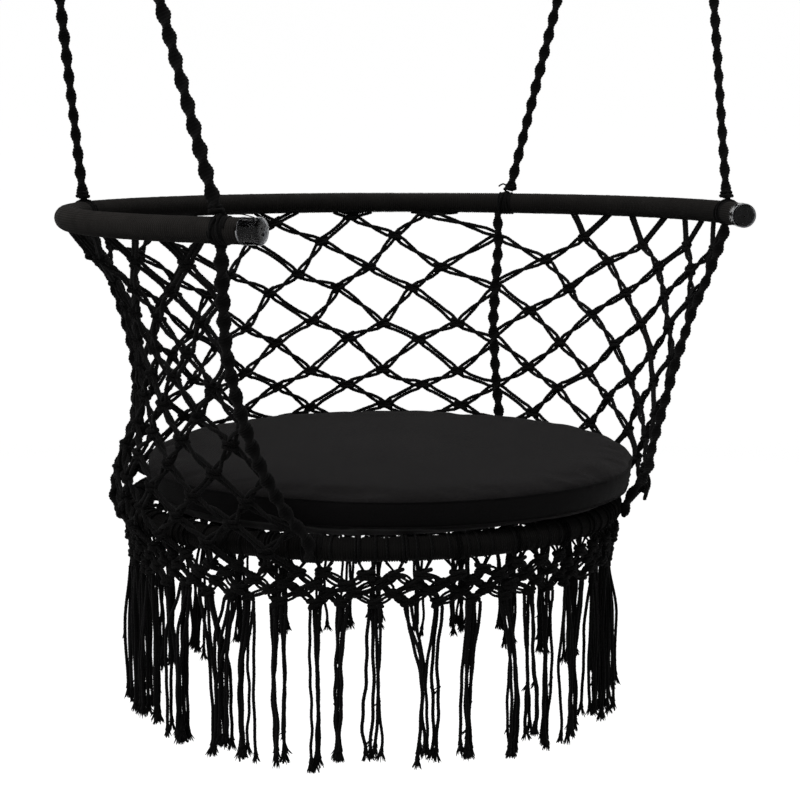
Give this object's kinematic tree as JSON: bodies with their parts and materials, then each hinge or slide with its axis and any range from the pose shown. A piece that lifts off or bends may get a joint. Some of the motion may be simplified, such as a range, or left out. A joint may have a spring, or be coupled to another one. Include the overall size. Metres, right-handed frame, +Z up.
{
  "type": "hanging swing chair",
  "caption": "Hanging macrame swing chair: open upper hoop, seat ring, knotted net back, round cushion, tasselled skirt and suspension ropes.",
  "frame": {"origin": "midway between the four hang rings, on the level of their centres", "axes": "+Z up along the hang line, +X to the right of a viewer facing the open front, -Y towards the open front of the seat"},
  "size_m": [0.8015, 0.6373, 0.9458],
  "materials": {
    "hang_ring_steel": "satin",
    "suspension_rope": "matte",
    "whipping_twine": "matte",
    "frame_steel": "satin",
    "frame_wrapping": "matte",
    "end_plug": "satin",
    "end_cap": "gloss",
    "side_rope": "matte",
    "hitch_cord": "matte",
    "fringe_cord": "matte",
    "net_cord": "matte",
    "cushion_fill": "matte",
    "cushion_panel": "matte",
    "cushion_side": "matte"
  },
  "bodies": {
    "hangers": {"hang_ring_front_left": "hang_ring_steel", "hang_ring_front_right": "hang_ring_steel", "hang_ring_back_left": "hang_ring_steel", "hang_ring_back_right": "hang_ring_steel"},
    "rope_front_left": {"rope_eye_front_left": "suspension_rope", "rope_whipping_front_left": "whipping_twine", "suspension_rope_front_left": "suspension_rope"},
    "rope_front_right": {"rope_eye_front_right": "suspension_rope", "rope_whipping_front_right": "whipping_twine", "suspension_rope_front_right": "suspension_rope"},
    "rope_back_left": {"rope_eye_back_left": "suspension_rope", "rope_whipping_back_left": "whipping_twine", "suspension_rope_back_left": "suspension_rope"},
    "rope_back_right": {"rope_eye_back_right": "suspension_rope", "rope_whipping_back_right": "whipping_twine", "suspension_rope_back_right": "suspension_rope"},
    "chair": {"hoop_tube": "frame_steel", "hoop_wrap": "frame_wrapping", "hoop_end_plug_left": "end_plug", "hoop_end_plug_right": "end_plug", "hoop_end_cap_left": "end_cap", "hoop_end_cap_right": "end_cap", "hoop_hitch_front_left": "hitch_cord", "hoop_hitch_front_right": "hitch_cord", "hoop_hitch_back_left": "hitch_cord", "hoop_hitch_back_right": "hitch_cord", "side_rope_front_left": "side_rope", "side_rope_front_right": "side_rope", "side_rope_back_left": "side_rope", "side_rope_back_right": "side_rope", "ring_hitch_front_left": "hitch_cord", "ring_hitch_front_right": "hitch_cord", "ring_hitch_back_left": "hitch_cord", "ring_hitch_back_right": "hitch_cord", "seat_ring_tube": "frame_steel", "seat_ring_wrap": "frame_wrapping", "seat_net": "net_cord", "left_net": "net_cord", "back_net": "net_cord", "right_net": "net_cord", "skirt_net": "net_cord", "fringe_front": "fringe_cord", "fringe_left": "fringe_cord", "fringe_back": "fringe_cord", "fringe_right": "fringe_cord"},
    "cushion": {"cushion_foam": "cushion_fill", "cushion_top_panel": "cushion_panel", "cushion_side_band": "cushion_side", "cushion_bottom_panel": "cushion_panel"}
  },
  "joints": [
    {"name": "swing_front_left", "type": "hinge", "parent": "hangers", "child": "rope_front_left", "pos_m": [-0.38335, -0.15975, 0], "axis": [1, 0, 0], "range_deg": [-15, 15]},
    {"name": "swing_front_right", "type": "hinge", "parent": "hangers", "child": "rope_front_right", "pos_m": [0.39353, -0.13911, 0], "axis": [1, 0, 0], "range_deg": [-15, 15]},
    {"name": "swing_back_left", "type": "hinge", "parent": "hangers", "child": "rope_back_left", "pos_m": [-0.3504, 0.11862, 0], "axis": [1, 0, 0], "range_deg": [-15, 15]},
    {"name": "swing_back_right", "type": "hinge", "parent": "hangers", "child": "rope_back_right", "pos_m": [0.36638, 0.09925, 0], "axis": [1, 0, 0], "range_deg": [-15, 15]},
    {"name": "chair_pitch", "type": "hinge", "parent": "rope_front_left", "child": "chair", "pos_m": [-0.33804, -0.25738, -0.33], "axis": [1, 0, 0], "range_deg": [-9.3, 9.3]},
    {"name": "cushion_lift", "type": "slide", "parent": "chair", "child": "cushion", "axis": [0.0498, -0.0796, 0.9956], "range_m": [0, 0.4]}
  ],
  "couplings": [
    {"joint": "swing_front_right", "follows": "swing_front_left", "ratio": 1},
    {"joint": "swing_back_left", "follows": "swing_front_left", "ratio": 1},
    {"joint": "swing_back_right", "follows": "swing_front_left", "ratio": 1},
    {"joint": "chair_pitch", "follows": "swing_front_left", "ratio": -0.62}
  ]
}
